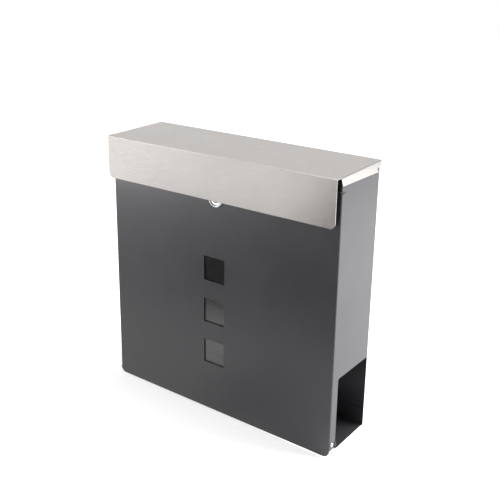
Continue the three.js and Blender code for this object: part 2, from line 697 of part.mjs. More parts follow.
// ---- lid ----------------------------------------------------------------------------------------
// Skirt and top from one fold, side flanges from two more, open at the two front corners, where the
// flanges stop short of the skirt.
function lidCover() {
  const halfWidth = LID_WIDTH / 2;
  const relief = LID_SHEET + BEND_RADIUS;
  const hemHalfWidth = halfWidth - SKIRT_CORNER_RADIUS - HEM_END_MARGIN;
  const hemY = LID_FRONT_Y + 2 * LID_SHEET + HEM_GAP;
  const flangeFrontY = LID_FRONT_Y + LID_FLANGE_SETBACK;
  const top = [
    [LID_FRONT_Y, LID_TOP_FRONT_Z],
    [LID_REAR_Y, lidTopAt(LID_REAR_Y)],
  ];
  const plain = foldedSheet([[LID_FRONT_Y, SKIRT_BOTTOM_Z], ...top], LID_SHEET);
  const hemmed = foldedSheet(
    [
      [hemY, SKIRT_BOTTOM_Z + HEM_HEIGHT],
      [hemY, SKIRT_BOTTOM_Z],
      [LID_FRONT_Y, SKIRT_BOTTOM_Z],
      ...top,
    ],
    LID_SHEET,
    [HEM_GAP / 2, HEM_GAP / 2, BEND_RADIUS],
  );
  const aboveAll = lidTopAt(LID_REAR_Y) + 1;
  const sheets = cut(
    extruded(plain, 'X', -halfWidth, halfWidth),
    block(-hemHalfWidth, hemHalfWidth, LID_FRONT_Y - 1, LID_REAR_Y + 1, SKIRT_BOTTOM_Z - 1, aboveAll),
    ...[-1, 1].map((side) => {
      const edges = [side * (halfWidth - relief), side * (halfWidth + 1)].sort((a, b) => a - b);
      return block(...edges, flangeFrontY, LID_REAR_Y + 1, SKIRT_BOTTOM_Z, aboveAll);
    }),
  );
  let lid = joined(
    sheets,
    extruded(hemmed, 'X', -hemHalfWidth, hemHalfWidth),
    lidFlanges(flangeFrontY),
  );
  for (const side of [-1, 1]) {
    const corner = [side * halfWidth, SKIRT_BOTTOM_Z, SKIRT_CORNER_RADIUS, side, -1];
    lid = cut(lid, cornerTool('Y', ...corner, LID_FRONT_Y - 1, hemY + 1));
  }
  return lid;
}

// The two side flanges with their bends, square to the sloping top, and level along their lower edge.
function lidFlanges(frontY) {
  const halfWidth = LID_WIDTH / 2;
  const footZ = LID_FLANGE_BOTTOM_Z - LID_RISE;
  const across = foldedSheet(
    [
      [-halfWidth, footZ],
      [-halfWidth, LID_TOP_FRONT_Z],
      [halfWidth, LID_TOP_FRONT_Z],
      [halfWidth, footZ],
    ],
    LID_SHEET,
  );
  const run = extrusion(across, 'Y', frontY - LID_FLANGE_SLANT, LID_REAR_Y + LID_RISE);
  run.translate(0, -LID_FRONT_Y, -LID_TOP_FRONT_Z);
  run.rotateX(Math.atan(LID_SLOPE));
  run.translate(0, LID_FRONT_Y, LID_TOP_FRONT_Z);
  const edges = [-halfWidth - 1, halfWidth + 1];
  const aboveAll = lidTopAt(LID_REAR_Y) + 1;
  const corner = LID_FLANGE_CORNER_RADIUS;
  const outline = new THREE.Shape();
  outline.moveTo(frontY, aboveAll);
  outline.lineTo(frontY, LID_TOP_FRONT_Z - LID_SHEET - BEND_RADIUS);
  outline.lineTo(frontY + LID_FLANGE_SLANT, LID_FLANGE_BOTTOM_Z);
  outline.absarc(LID_REAR_Y - corner, LID_FLANGE_BOTTOM_Z + corner, corner, -Math.PI / 2, 0);
  outline.lineTo(LID_REAR_Y, aboveAll);
  return cut(
    solidOf(run).intersect(extruded(outline, 'X', ...edges)),
    bore('X', LID_HINGE_Y, LID_HINGE_Z, PIN_RADIUS + HOLE_CLEARANCE, ...edges),
  );
}

// ---- pins, washers and buffers ------------------------------------------------------------------
// Riveted pin along its own Y axis: a domed head outside, the shank, and a flat tail inside the case.
function rivetedPin(headRadius, headBase) {
  const tailEnd = CASE_INNER_X - FIT_GAP;
  return turned(
    [
      [0, tailEnd - PIN_TAIL_HEIGHT],
      [PIN_TAIL_RADIUS, tailEnd - PIN_TAIL_HEIGHT],
      [PIN_TAIL_RADIUS, tailEnd],
      [PIN_RADIUS, tailEnd],
      [PIN_RADIUS, headBase],
      [headRadius, headBase],
      ...dome(headRadius, headBase + PIN_HEAD_HEIGHT / 4, PIN_HEAD_HEIGHT * 0.75, BEND_STEPS),
    ],
    ROUND_STEPS * 0.6,
  );
}

// Plain ring along its own Y axis, filling a gap that starts at the case's side.
function ring(radius, gap) {
  const inner = PIN_RADIUS + HOLE_CLEARANCE;
  const from = CASE_WIDTH / 2 + FIT_GAP / 2;
  const to = CASE_WIDTH / 2 + gap - FIT_GAP / 2;
  const profile = [[inner, from], [radius, from], [radius, to], [inner, to], [inner, from]];
  return turned(profile, ROUND_STEPS * 0.6);
}

function onSide(mesh, side, y, z) {
  mesh.rotation.z = (-side * Math.PI) / 2;
  mesh.position.set(0, y, z);
  return mesh;
}

function buffer(radius, height) {
  const shoulder = radius / 6;
  return turned(
    [
      [0, 0],
      [radius, 0],
      [radius, height - shoulder],
      [radius - shoulder, height],
      [0, height],
    ],
    ROUND_STEPS * 0.6,
  );
}

// ---- assembly -----------------------------------------------------------------------------------
const SIDES = { left: -1, right: 1 };

const mailbox = new THREE.Group();
mailbox.name = 'mailbox';
mailbox.position.y = -(LID_FRONT_Y + CASE_REAR_Y) / 2;

mailbox.add(
  meshOf('case_shell', caseShell(), ANTHRACITE),
  meshOf('newspaper_tray', newspaperTray(), ANTHRACITE),
  meshOf('mail_floor', mailFloor(), ANTHRACITE),
  meshOf('front_rail', frontRail(), ANTHRACITE),
);

const door = hingedGroup(DOOR_HINGE_Y, DOOR_HINGE_Z);
door.parts.add(
  meshOf('door_panel', doorPanel(), ANTHRACITE),
  meshOf('window_pane', windowPane(), ACRYLIC),
  meshOf('lock_body', lockBody(), CHROME),
);
studPlaces().forEach(([x, z], i) => {
  const clip = meshOf(`pane_clip_${i + 1}`, paneClip(), ZINC);
  clip.position.set(x, PANE_REAR_Y + FIT_GAP, z);
  door.parts.add(clip);
});

const lockNutMesh = meshOf('lock_nut', lockNut(), ZINC);
lockNutMesh.position.set(0, DOOR_SHEET + FIT_GAP, LOCK_Z);
door.parts.add(lockNutMesh);

const lockCylinder = new THREE.Group();
lockCylinder.position.set(0, 0, LOCK_Z);
const cam = meshOf('lock_cam', lockCam(), ZINC);
cam.position.y = CAM_FRONT_Y;
const screw = meshOf('cam_screw', camScrew(), ZINC);
screw.position.y = CAM_REAR_Y;
lockCylinder.add(meshOf('lock_plug', lockPlug(), CHROME), cam, screw);
door.parts.add(lockCylinder);

const lid = hingedGroup(LID_HINGE_Y, LID_HINGE_Z);
lid.parts.add(meshOf('lid_cover', lidCover(), STAINLESS));

const lidPinBase = LID_WIDTH / 2 + FIT_GAP;
const doorPinBase = DOOR_WIDTH / 2 + FIT_GAP;
for (const [name, side] of Object.entries(SIDES)) {
  const lidPin = meshOf(`lid_pin_${name}`, rivetedPin(LID_PIN_HEAD_RADIUS, lidPinBase), ZINC);
  const lidWasher = meshOf(`lid_washer_${name}`, ring(LID_WASHER_RADIUS, LID_SIDE_GAP), NYLON);
  const doorPin = meshOf(`door_pin_${name}`, rivetedPin(DOOR_PIN_HEAD_RADIUS, doorPinBase), ZINC);
  const doorSpacer = meshOf(`door_spacer_${name}`, ring(DOOR_SPACER_RADIUS, DOOR_SIDE_GAP), NYLON);
  mailbox.add(
    onSide(lidPin, side, LID_HINGE_Y, LID_HINGE_Z),
    onSide(lidWasher, side, LID_HINGE_Y, LID_HINGE_Z),
    onSide(doorPin, side, DOOR_HINGE_Y, DOOR_HINGE_Z),
    onSide(doorSpacer, side, DOOR_HINGE_Y, DOOR_HINGE_Z),
  );

  const lidBuffer = meshOf(`lid_buffer_${name}`, buffer(LID_BUFFER_RADIUS, LID_BUFFER_HEIGHT), RUBBER);
  lidBuffer.rotation.x = Math.PI / 2;
  const lidBufferX = CASE_WIDTH / 2 - LID_BUFFER_INSET;
  lidBuffer.position.set(side * lidBufferX, LID_BUFFER_Y, RAIL_TOP_Z + FIT_GAP);
  mailbox.add(lidBuffer);

  const doorBufferHeight = CASE_FRONT_Y - DOOR_SHEET - 2 * FIT_GAP;
  const doorBufferX = RETURN_EDGE_X + CASE_RETURN_WIDTH / 2 - BEND_RADIUS;
  const doorBufferRows = {
    lower: MAIL_FLOOR_Z + DOOR_BUFFER_MARGIN,
    upper: RAIL_BOTTOM_Z - DOOR_BUFFER_MARGIN,
  };
  for (const [row, z] of Object.entries(doorBufferRows)) {
    const shape = buffer(DOOR_BUFFER_RADIUS, doorBufferHeight);
    const doorBuffer = meshOf(`door_buffer_${row}_${name}`, shape, RUBBER);
    doorBuffer.rotation.x = Math.PI;
    doorBuffer.position.set(side * doorBufferX, CASE_FRONT_Y - FIT_GAP, z);
    mailbox.add(doorBuffer);
  }
}

mailbox.add(door.hinge, lid.hinge);

export default mailbox;
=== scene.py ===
import json
import math

import bpy
from mathutils import Matrix, Vector


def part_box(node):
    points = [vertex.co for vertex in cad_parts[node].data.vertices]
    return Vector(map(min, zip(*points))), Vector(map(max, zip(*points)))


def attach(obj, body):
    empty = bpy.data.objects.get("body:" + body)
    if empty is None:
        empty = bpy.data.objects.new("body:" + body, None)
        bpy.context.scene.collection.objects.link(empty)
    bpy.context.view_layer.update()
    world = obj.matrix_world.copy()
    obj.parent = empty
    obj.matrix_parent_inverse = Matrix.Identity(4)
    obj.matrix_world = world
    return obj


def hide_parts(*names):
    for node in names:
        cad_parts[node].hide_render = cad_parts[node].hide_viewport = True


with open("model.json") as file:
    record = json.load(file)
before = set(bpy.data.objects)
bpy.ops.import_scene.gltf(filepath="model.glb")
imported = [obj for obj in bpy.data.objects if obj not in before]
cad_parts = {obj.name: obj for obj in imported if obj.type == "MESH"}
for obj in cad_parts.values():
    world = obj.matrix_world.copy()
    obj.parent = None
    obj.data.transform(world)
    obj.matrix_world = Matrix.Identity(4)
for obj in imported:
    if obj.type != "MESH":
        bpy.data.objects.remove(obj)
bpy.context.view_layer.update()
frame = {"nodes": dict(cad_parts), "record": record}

MM = 0.001

# ---- camera -------------------------------------------------------------------------------------
CAMERA_PLACE = Vector((0.6098, -0.7979, 0.6017))
# Degrees: how far round from -Y towards +X it stands, how far it looks down, and its roll.
CAMERA_AZIMUTH = 35.75
CAMERA_ELEVATION = 17.4
CAMERA_ROLL = 1.1
# Lens and sensor in millimetres, shift in shares of the picture's width, clip in metres.
CAMERA_LENS = 56.53
CAMERA_SENSOR = 36.0
CAMERA_SHIFT = (-0.015, -0.081)
CAMERA_CLIP = (0.01, 50.0)

# ---- floor and cards ----------------------------------------------------------------------------
FLOOR_SIZE = 12.0
FLOOR_DROP = 0.3 * MM
# The floor's own glow, near and far, and the distances between which it changes: from the foot of
# the door for what the camera sees, and from the origin for what mirrors and glass show.
DOOR_FOOT = {"half_width": 0.16, "y": -0.045}
# Painted shadow: the glow that the camera sees is lowest at the foot of the door and full a little
# away from it.
GLOW_SEEN = (0.635, 1.0)
GLOW_SEEN_REACH = (0.0, 0.24)
GLOW_MIRRORED = (0.8, 1.08)
GLOW_MIRRORED_REACH = (0.5, 1.1)
# Black cards that only mirrors and glass show: from where to where each one reaches in x and y, or
# in x and z when it stands upright, how wide its soft edge is, and how dark it is, 1 for black.
FLAGS = {
    "flag_near": {"x": (-0.74, 0.70), "y": (-0.78, -0.24), "fade": 0.14, "depth": 0.85},
    "flag_foot": {"x": (-0.08, 0.22), "y": (-0.27, -0.02), "fade": 0.08, "depth": 0.4},
    "flag_far": {"x": (-0.392, 0.70), "y": (-1.28, -0.70), "fade": 0.02, "depth": 1.0},
    "flag_side": {"x": (0.55, 1.30), "y": (0.70, 1.80), "fade": 0.20, "depth": 0.35},
    "flag_upright": {"x": (-0.603, -0.34), "z": (0.0, 1.0), "fade": 0.02, "depth": 1.0},
}
FLAG_LIFT = 1.0 * MM
FLAG_BACK = -1.5

# ---- lights -------------------------------------------------------------------------------------
# The white world's strength as a light. Seen or mirrored, it is at full strength.
AMBIENT = 0.1
# Area lamps: a place and what it faces, width and height in metres, and watts. A link keeps a lamp
# off a CAD node (EXCLUDE) or to one alone (INCLUDE).
LAMPS = {
    "key_right": {
        "place": (1.1, 0.9, 1.05),
        "aim": (0.0, 0.0, 0.2),
        "size": (1.3, 1.15),
        "watts": 54.0,
        "link": ("EXCLUDE", "lid_cover"),
    },
    "glow_left": {
        "place": (-0.24, -0.21, 0.30),
        "aim": (-0.06, -0.043, 0.365),
        "size": (0.42, 0.03),
        "watts": 0.42,
        "link": ("INCLUDE", "door_panel"),
    },
    "fill_left": {
        "place": (-1.5, -1.1, 0.75),
        "aim": (0.0, 0.0, 0.2),
        "size": (1.0, 0.8),
        "watts": 4.7,
    },
    "overhead": {
        "place": (-0.1, -0.1, 1.9),
        "aim": (0.0, 0.0, 0.0),
        "size": (2.2, 2.2),
        "watts": 14.0,
    },
}

# ---- surfaces -----------------------------------------------------------------------------------
WELD_DISTANCE = 0.002 * MM
SHARP_ANGLE = math.radians(32)
SIDEWAYS = 0.7  # a normal's x from which a face counts as facing sideways
WORN_WIDTH = 0.6 * MM
WORN_SHARE = 0.35  # how much of the paint is gone where it is worn
# How far the painted shade in seams, recesses and inner corners reaches.
PAINTED_SHADE_REACH = 4 * MM

# ---- lock details: thread, wafers and screw -----------------------------------------------------
BARREL_RADIUS = 7.75 * MM
THREAD_RADIUS = 8.05 * MM
THREAD_PITCH = 1.0 * MM
THREAD_FILL = 0.8  # the share of the pitch that a ridge takes
THREAD_ARC = math.radians(52)  # half of a round side
THREAD_STEPS = 16
THREAD_START = 1.4 * MM  # before the nut's middle, so just inside its front face

WAFER_COUNT = 4
WAFER_START = 1.1 * MM
WAFER_PITCH = 0.95 * MM
WAFER_THICKNESS = 0.45 * MM
WAFER_HALF_WIDTH = 0.82 * MM
WAFER_INNER = 1.1 * MM
WAFER_REACH = 2.1 * MM
# Across in half widths, and outward from the inner end in shares of the reach.
WAFER_OUTLINE = ((-1.0, 1.0), (-1.0, 0.30), (-0.55, 0.0), (0.55, 0.0), (1.0, 0.30), (1.0, 1.0))

SCREW_RADIUS = 1.6 * MM
SCREW_CHAMFER = (0.2 * MM, 0.3 * MM)  # inward and along the axis
SCREW_HEAD_HEIGHT = 1.8 * MM
SCREW_STEPS = 48
SCREW_PINHOLE = 0.02 * MM  # radius at which an end or a cone stops
DOME_STEPS = 5
DOME_STEP = 12.0  # degrees round the dome, from its rim up to the socket
DOME_DRAW = 1.6  # how far the dome draws in, against its rise
SOCKET_HALF_FLATS = 1.25 * MM
SOCKET_DEPTH = 1.0 * MM
SOCKET_CONE = 0.3 * MM

# ---- colours, linear ----------------------------------------------------------------------------
WHITE = (1.0, 1.0, 1.0)
FLOOR_DARK = (0.80, 0.80, 0.80)
FLOOR_LIGHT = (0.82, 0.82, 0.82)
FLAG_BLACK = (0.01, 0.01, 0.01)
ANTHRACITE_DARK = (0.031, 0.031, 0.036)
ANTHRACITE_LIGHT = (0.041, 0.041, 0.047)
ANTHRACITE_WORN = (0.09, 0.09, 0.096)
# Painted shade: the near-black colour of the paint in seams, recesses and inner corners.
ANTHRACITE_PAINTED_SHADE = (0.006, 0.006, 0.007)
STEEL_DARK = (0.425, 0.402, 0.388)
STEEL_LIGHT = (0.525, 0.500, 0.485)
CHROME_DARK = (0.644, 0.644, 0.644)
CHROME_LIGHT = (0.70, 0.70, 0.70)
NICKEL_DARK = (0.22, 0.215, 0.20)
NICKEL_LIGHT = (0.32, 0.31, 0.29)
BRASS_DARK = (0.46, 0.33, 0.13)
BRASS_LIGHT = (0.66, 0.50, 0.24)
ZINC_DARK = (0.42, 0.43, 0.44)
ZINC_LIGHT = (0.60, 0.61, 0.62)
RUBBER_DARK = (0.010, 0.010, 0.010)
RUBBER_LIGHT = (0.022, 0.022, 0.022)
NYLON_DARK = (0.66, 0.65, 0.60)
NYLON_LIGHT = (0.76, 0.75, 0.70)
ACRYLIC_TINT = (0.95, 0.95, 0.95)


# ---- node helpers -------------------------------------------------------------------------------
# A Mix node's sockets for colours, which have the same names as its sockets for numbers.
MIX_A, MIX_B, MIX_RESULT = 6, 7, 2


class Shader:
    """A material's node tree, with its Principled BSDF and short ways to add the usual nodes."""

    def __init__(self, name):
        self.material = bpy.data.materials.new(name)
        self.material.use_nodes = True
        self.tree = self.material.node_tree
        self.bsdf = self.tree.nodes["Principled BSDF"]

    def node(self, kind, **settings):
        made = self.tree.nodes.new(kind)
        for name, value in settings.items():
            setattr(made, name, value)
        return made

    def link(self, source, target):
        self.tree.links.new(source, target)

    def set(self, **sockets):
        for name, value in sockets.items():
            self.bsdf.inputs[name.replace("_", " ")].default_value = value

    def wire(self, **sockets):
        for name, value in sockets.items():
            self.link(value, self.bsdf.inputs[name.replace("_", " ")])
        return self.material

    def place(self, scale=(1.0, 1.0, 1.0)):
        """Object coordinates, so that a pattern moves with its piece."""
        mapping = self.node("ShaderNodeMapping")
        mapping.inputs["Scale"].default_value = scale
        self.link(self.node("ShaderNodeTexCoord").outputs["Object"], mapping.inputs["Vector"])
        return mapping.outputs["Vector"]

    def axes(self, vector):
        split = self.node("ShaderNodeSeparateXYZ")
        self.link(vector, split.inputs["Vector"])
        return split.outputs

    def noise(self, vector, scale, detail=3.0, roughness=0.55):
        texture = self.node("ShaderNodeTexNoise")
        texture.inputs["Scale"].default_value = scale
        texture.inputs["Detail"].default_value = detail
        texture.inputs["Roughness"].default_value = roughness
        self.link(vector, texture.inputs["Vector"])
        return texture.outputs["Fac"]

    def streaks(self, scale, detail=4.0, roughness=0.7):
        """Noise with a scale for each axis, drawn out along the axes whose scale is low."""
        return self.noise(self.place(scale), 1.0, detail, roughness)

    def speckle(self, vector, scale):
        texture = self.node("ShaderNodeTexVoronoi", feature="SMOOTH_F1")
        texture.inputs["Scale"].default_value = scale
        self.link(vector, texture.inputs["Vector"])
        return texture.outputs["Distance"]

    def remap(self, value, to=(0.0, 1.0), band=(0.0, 1.0)):
        """A band of the value stretched to a new range, and held at the range's ends."""
        mapped = self.node("ShaderNodeMapRange")
        for name, number in zip(("From Min", "From Max", "To Min", "To Max"), (*band, *to)):
            mapped.inputs[name].default_value = number
        self.link(value, mapped.inputs["Value"])
        return mapped.outputs["Result"]

    def maths(self, operation, a, b=0.0):
        made = self.node("ShaderNodeMath", operation=operation)
        for socket, value in zip(made.inputs, (a, b)):
            if isinstance(value, (int, float)):
                socket.default_value = value
            else:
                self.link(value, socket)
        return made.outputs["Value"]

    def blend(self, a, b, share):
        """The given share of one pattern and the rest of another, added."""
        return self.maths(
            "ADD", self.maths("MULTIPLY", a, share), self.maths("MULTIPLY", b, 1.0 - share)
        )

    def mix(self, factor, a, b):
        made = self.node("ShaderNodeMix", data_type="RGBA")
        self.link(factor, made.inputs["Factor"])
        for socket, value in zip((made.inputs[MIX_A], made.inputs[MIX_B]), (a, b)):
            if isinstance(value, tuple):
                socket.default_value = (*value, 1.0)
            else:
                self.link(value, socket)
        return made.outputs[MIX_RESULT]

    def bump(self, height, distance, strength, onto=None):
        made = self.node("ShaderNodeBump")
        made.inputs["Distance"].default_value = distance
        made.inputs["Strength"].default_value = strength
        self.link(height, made.inputs["Height"])
        if onto is not None:
            self.link(onto, made.inputs["Normal"])
        return made.outputs["Normal"]

    def edges(self, radius):
        """Near 1 on sharp edges and bends of the given radius, and 0 on flat faces."""
        rounded = self.node("ShaderNodeBevel", samples=4)
        rounded.inputs["Radius"].default_value = radius
        plain = self.node("ShaderNodeNewGeometry")
        dot = self.node("ShaderNodeVectorMath", operation="DOT_PRODUCT")
        self.link(rounded.outputs["Normal"], dot.inputs[0])
        self.link(plain.outputs["Normal"], dot.inputs[1])
        return self.remap(dot.outputs["Value"], to=(1.0, 0.0), band=(0.80, 0.995))

    def crevices(self, distance):
        """1 in seams and inner corners narrower than the distance, and 0 on open faces: the mask of
        painted shade.
        """
        open_sky = self.node("ShaderNodeAmbientOcclusion", samples=8)
        open_sky.inputs["Distance"].default_value = distance
        return self.remap(open_sky.outputs["AO"], to=(1.0, 0.0), band=(0.45, 0.9))


# ---- finishes -----------------------------------------------------------------------------------
def powder_coat():
    """Baked powder paint: fine orange peel, faint clouds, thin worn edges, and painted shade that
    darkens seams and inner corners.
    """
    s = Shader("powder_coat")
    place = s.place()
    cloud = s.noise(place, scale=14.0, detail=4.0)
    grain = s.noise(place, scale=1500.0, detail=2.0)
    peel = s.noise(place, scale=620.0, detail=2.0)
    tone = s.remap(s.blend(cloud, grain, share=0.45), band=(0.35, 0.65))
    paint = s.mix(tone, ANTHRACITE_DARK, ANTHRACITE_LIGHT)
    chips = s.remap(s.noise(place, scale=240.0), band=(0.46, 0.62))
    worn = s.maths("MULTIPLY", s.maths("MULTIPLY", s.edges(WORN_WIDTH), chips), WORN_SHARE)
    # Painted shade: ambient occlusion darkens seams, recesses and inner corners nearly to black,
    # and makes them rougher.
    painted_shade = s.crevices(PAINTED_SHADE_REACH)
    gloss = s.remap(cloud, to=(0.33, 0.41), band=(0.3, 0.7))
    orange_peel = s.bump(peel, distance=0.07 * MM, strength=0.7)
    s.set(Metallic=0.0, IOR=1.5, Specular_IOR_Level=0.65)
    return s.wire(
        Base_Color=s.mix(painted_shade, s.mix(worn, paint, ANTHRACITE_WORN), ANTHRACITE_PAINTED_SHADE),
        Roughness=s.maths("ADD", gloss, s.remap(painted_shade, to=(0.0, 0.4))),
        Normal=s.bump(grain, distance=0.03 * MM, strength=0.6, onto=orange_peel),
    )


def stainless():
    """Sheet brushed along X, and along Z where it faces sideways: scratches, gloss and relief."""
    s = Shader("stainless")
    facing = s.axes(s.node("ShaderNodeTexCoord").outputs["Normal"])["X"]
    sideways = s.maths("GREATER_THAN", s.maths("ABSOLUTE", facing), SIDEWAYS)
    upward = s.node(
        "ShaderNodeVectorTransform",
        vector_type="VECTOR",
        convert_from="OBJECT",
        convert_to="WORLD",
    )
    upward.inputs["Vector"].default_value = (0.0, 0.0, 1.0)
    along_x = s.streaks((60.0, 1300.0, 1300.0), detail=5.0)
    along_z = s.streaks((1300.0, 1300.0, 60.0), detail=5.0)
    cross = s.noise(s.place(), scale=900.0, roughness=0.7)
    stain = s.noise(s.place(), scale=9.0)
    scratches = s.blend(s.mix(sideways, along_x, along_z), cross, share=0.55)
    gloss = s.remap(scratches, to=(0.17, 0.28), band=(0.3, 0.7))
    s.set(Metallic=1.0, Anisotropic=0.9, Anisotropic_Rotation=0.25)
    return s.wire(
        Base_Color=s.mix(s.remap(scratches, band=(0.41, 0.59)), STEEL_DARK, STEEL_LIGHT),
        Roughness=s.maths("ADD", gloss, s.remap(stain, to=(-0.03, 0.03), band=(0.3, 0.7))),
        Tangent=s.mix(sideways, (1.0, 0.0, 0.0), upward.outputs["Vector"]),
        Normal=s.bump(scratches, distance=0.012 * MM, strength=1.0),
    )


def chrome():
    """Polished plating with hairline scratches and a faint ripple."""
    s = Shader("chrome")
    scratches = s.streaks((300.0, 300.0, 2600.0), roughness=0.75)
    ripple = s.noise(s.place(), scale=260.0, detail=2.0)
    s.set(Metallic=1.0)
    return s.wire(
        Base_Color=s.mix(s.remap(scratches, band=(0.3, 0.7)), CHROME_DARK, CHROME_LIGHT),
        Roughness=s.remap(scratches, to=(0.06, 0.16), band=(0.35, 0.75)),
        Normal=s.bump(ripple, distance=0.02 * MM, strength=0.35),
    )


def turned_metal(name, dark, light, rough):
    """Stamped or drawn soft metal: fine marks from the tool and a slight cloudiness."""
    s = Shader(name)
    marks = s.streaks((500.0, 2800.0, 500.0))
    tone = s.blend(marks, s.noise(s.place(), scale=420.0), share=0.5)
    s.set(Metallic=1.0)
    return s.wire(
        Base_Color=s.mix(s.remap(tone, band=(0.35, 0.65)), dark, light),
        Roughness=s.remap(tone, to=rough, band=(0.35, 0.65)),
        Normal=s.bump(marks, distance=0.01 * MM, strength=0.5),
    )


def zinc():
    """Bright zinc plate: a spangle of paler and darker patches, and a dull sheen."""
    s = Shader("zinc")
    place = s.place()
    spangle = s.speckle(place, scale=700.0)
    grain = s.noise(place, scale=2400.0)
    s.set(Metallic=1.0)
    return s.wire(
        Base_Color=s.mix(s.remap(spangle, band=(0.1, 0.8)), ZINC_DARK, ZINC_LIGHT),
        Roughness=s.remap(grain, to=(0.26, 0.42), band=(0.3, 0.7)),
        Normal=s.bump(grain, distance=0.01 * MM, strength=0.5),
    )


def moulded(name, dark, light, rough, grain_scale):
    """Moulded rubber or nylon: fine grain and slight mottling."""
    s = Shader(name)
    place = s.place()
    mottle = s.noise(place, scale=180.0)
    grain = s.noise(place, scale=grain_scale, detail=2.0)
    s.set(Metallic=0.0)
    return s.wire(
        Base_Color=s.mix(s.remap(mottle, band=(0.3, 0.7)), dark, light),
        Roughness=s.remap(grain, to=rough, band=(0.3, 0.7)),
        Normal=s.bump(grain, distance=0.03 * MM, strength=0.5),
    )


def clear_acrylic():
    """Clear sheet with a slight wave and a few hazy rub marks."""
    s = Shader("clear_acrylic")
    wave = s.noise(s.place(), scale=18.0, detail=1.0)
    rubs = s.streaks((900.0, 900.0, 120.0))
    s.set(Metallic=0.0, Transmission_Weight=1.0, IOR=1.49)
    return s.wire(
        Base_Color=s.mix(s.remap(rubs, band=(0.3, 0.7)), ACRYLIC_TINT, WHITE),
        Roughness=s.remap(rubs, to=(0.0, 0.06), band=(0.55, 0.8)),
        Normal=s.bump(wave, distance=0.02 * MM, strength=0.3),
    )


FINISHES = {
    "powder_coat": powder_coat(),
    "stainless": stainless(),
    "chrome": chrome(),
    "zinc": zinc(),
    "rubber": moulded("rubber", RUBBER_DARK, RUBBER_LIGHT, (0.62, 0.8), 1600.0),
    "nylon": moulded("nylon", NYLON_DARK, NYLON_LIGHT, (0.38, 0.5), 2200.0),
    "clear_acrylic": clear_acrylic(),
}
NICKEL = turned_metal("satin_nickel", NICKEL_DARK, NICKEL_LIGHT, (0.30, 0.42))
BRASS = turned_metal("brass", BRASS_DARK, BRASS_LIGHT, (0.24, 0.36))


# ---- CAD nodes ----------------------------------------------------------------------------------
def smooth_surfaces(piece):
    """Smooth shading over bends and rounds, with sharp sheet edges, and no change to the mesh."""
    for face in piece.data.polygons:
        face.use_smooth = True
    weld = piece.modifiers.new("weld", "WELD")
    weld.merge_threshold = WELD_DISTANCE
    split = piece.modifiers.new("sharp_edges", "EDGE_SPLIT")
    split.split_angle = SHARP_ANGLE
    split.use_edge_sharp = False
    piece.modifiers.new("flat_faces", "WEIGHTED_NORMAL")


def dress(piece, finish):
    piece.data.materials.clear()
    piece.data.materials.append(finish)


SLOTS = {part["node"]: part["material_slot"] for part in frame["record"]["subparts"]}
for name, piece in frame["nodes"].items():
    smooth_surfaces(piece)
    dress(piece, FINISHES[SLOTS[name]])
# The plug's face is duller than the chrome that its slot names.
dress(frame["nodes"]["lock_plug"], NICKEL)


# ---- made pieces --------------------------------------------------------------------------------
def new_object(name, vertices, faces):
    mesh = bpy.data.meshes.new(name)
    mesh.from_pydata(vertices, [], faces)
    mesh.validate()
    made = bpy.data.objects.new(name, mesh)
    bpy.context.scene.collection.objects.link(made)
    return made


def made_piece(name, vertices, faces, finish, body):
    """A mesh that rides on a body, with its own finish."""
    piece = new_object(name, vertices, faces)
    smooth_surfaces(piece)
    dress(piece, finish)
    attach(piece, body)
    return piece


def centre_of(node):
    low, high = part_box(node)
    return (low + high) / 2


def lofted(rings):
    """The points of closed rings of equal count, and the quads from each ring to the next."""
    count = len(rings[0])
    vertices = [point for ring in rings for point in ring]
    faces = []
    for start in range(0, len(vertices) - count, count):
        for i in range(count):
            a, b = start + i, start + (i + 1) % count
            faces.append((a, b, b + count, a + count))
    return vertices, faces


# ---- making the lock details --------------------------------------------------------------------
def make_thread():
    """Ridges of the barrel's thread on its two round sides, between its flats."""
    axis = centre_of("lock_body")
    start, end = centre_of("lock_nut").y - THREAD_START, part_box("lock_body")[1].y - THREAD_PITCH
    # Radius, and share of the ridge's width.
    profile = ((BARREL_RADIUS, 0.0), (THREAD_RADIUS, 0.5), (BARREL_RADIUS, 1.0))
    vertices, faces = [], []
    for turn in range(int((end - start) / THREAD_PITCH)):
        for side in (0.0, math.pi):
            rings = []
            for k in range(THREAD_STEPS + 1):
                angle = side + THREAD_ARC * (2 * k / THREAD_STEPS - 1)
                y = start + THREAD_PITCH * (turn + (angle + THREAD_ARC) / (2 * math.pi))
                ring = []
                for radius, share in profile:
                    x, z = axis.x + radius * math.cos(angle), axis.z + radius * math.sin(angle)
                    ring.append((x, y + share * THREAD_FILL * THREAD_PITCH, z))
                rings.append(ring)
            ridge, quads = lofted(rings)
            first, last = len(vertices), len(vertices) + len(ridge) - 1
            vertices += ridge
            faces += [tuple(first + i for i in quad) for quad in quads]
            faces += [(first + 2, first + 1, first), (last - 2, last - 1, last)]
    made_piece("lock_thread", vertices, faces, FINISHES["chrome"], "door")


def make_wafers():
    """Brass wafers that stand into the keyway, from its top and its foot in turn."""
    plug = centre_of("lock_plug")
    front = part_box("lock_plug")[0].y
    count = len(WAFER_OUTLINE)
    for i in range(WAFER_COUNT):
        way = 1 if i % 2 == 0 else -1
        y = front + WAFER_START + i * WAFER_PITCH
        rings = []
        for depth in (0.0, WAFER_THICKNESS):
            ring = []
            for across, outward in WAFER_OUTLINE:
                x = plug.x + across * WAFER_HALF_WIDTH
                ring.append((x, y + depth, plug.z + way * (WAFER_INNER + outward * WAFER_REACH)))
            rings.append(ring)
        vertices, faces = lofted(rings)
        faces += [tuple(range(count))[::-1], tuple(range(count, 2 * count))]
        made_piece(f"lock_wafer_{i + 1}", vertices, faces, BRASS, "lock")


